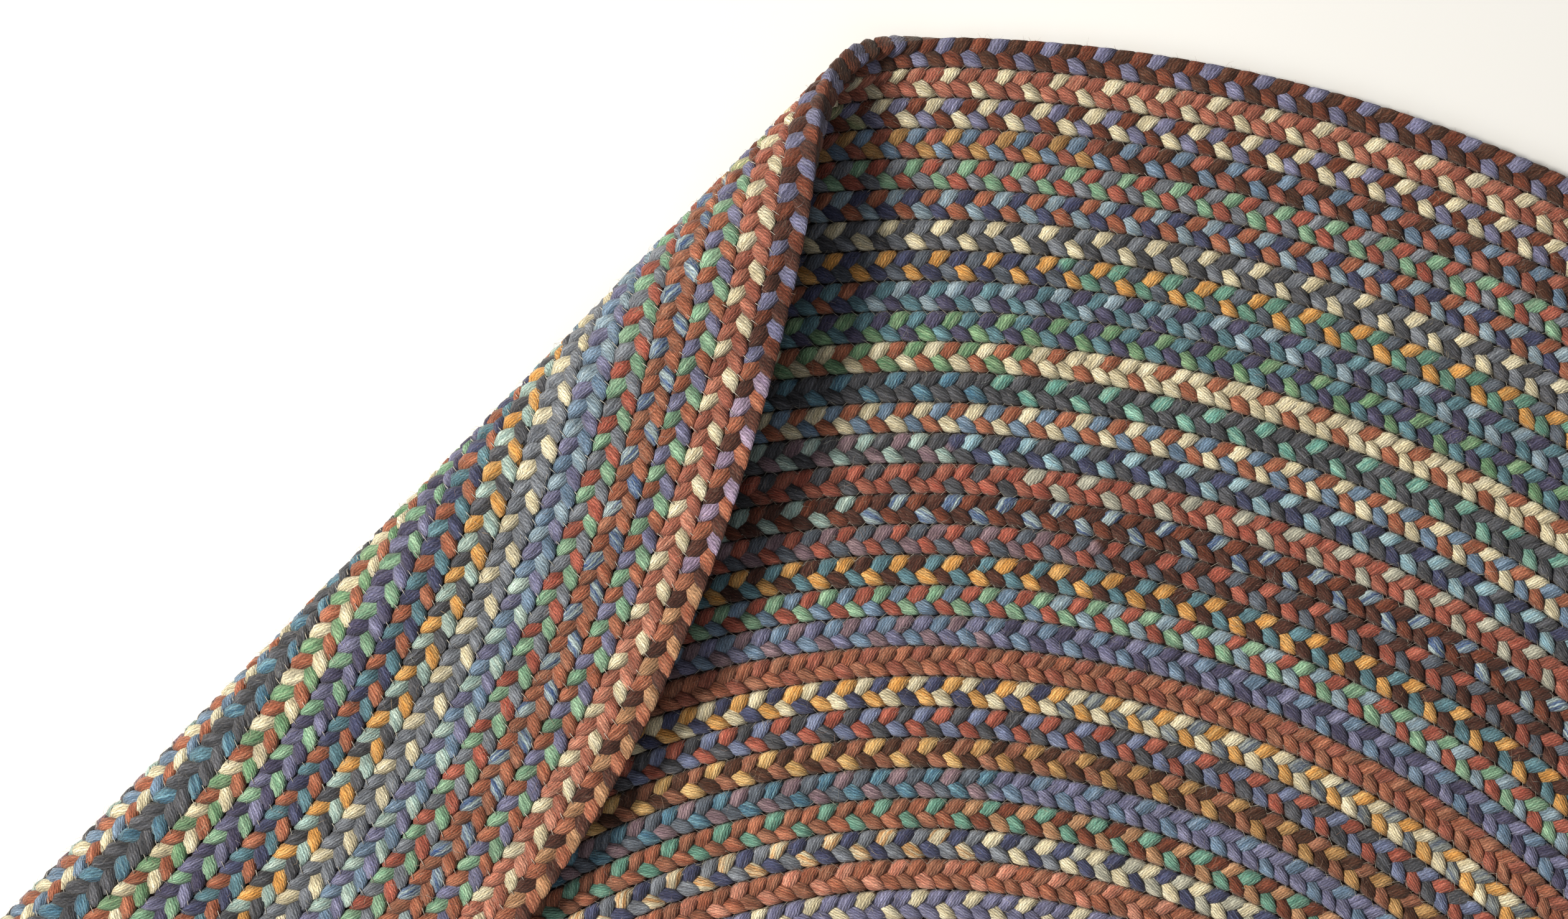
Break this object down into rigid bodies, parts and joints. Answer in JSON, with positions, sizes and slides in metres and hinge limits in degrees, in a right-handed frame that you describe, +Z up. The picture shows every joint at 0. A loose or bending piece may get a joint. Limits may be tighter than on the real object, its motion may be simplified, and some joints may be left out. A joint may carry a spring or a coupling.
{
  "type": "round braided rug, folded over on one side",
  "caption": "Round rug of flat wool braid laid in concentric rings and laced, lying flat with one side rolled over onto the rest.",
  "frame": {"origin": "common centre of the rings, on the flat underside that lies on the floor", "axes": "+Z up off the floor; +Y away from a person at the near edge; +X to their right; the folded side is at far left, across a heading 135.8 degrees counter-clockwise from +X"},
  "size_m": [0.9995, 0.9997, 0.048],
  "materials": {
    "braid": "plied wool yarn plaited in three strands, many dull colours, matt with a soft fuzz"
  },
  "bodies": {
    "root": {"braided_rug": "braid"}
  },
  "joints": []
}
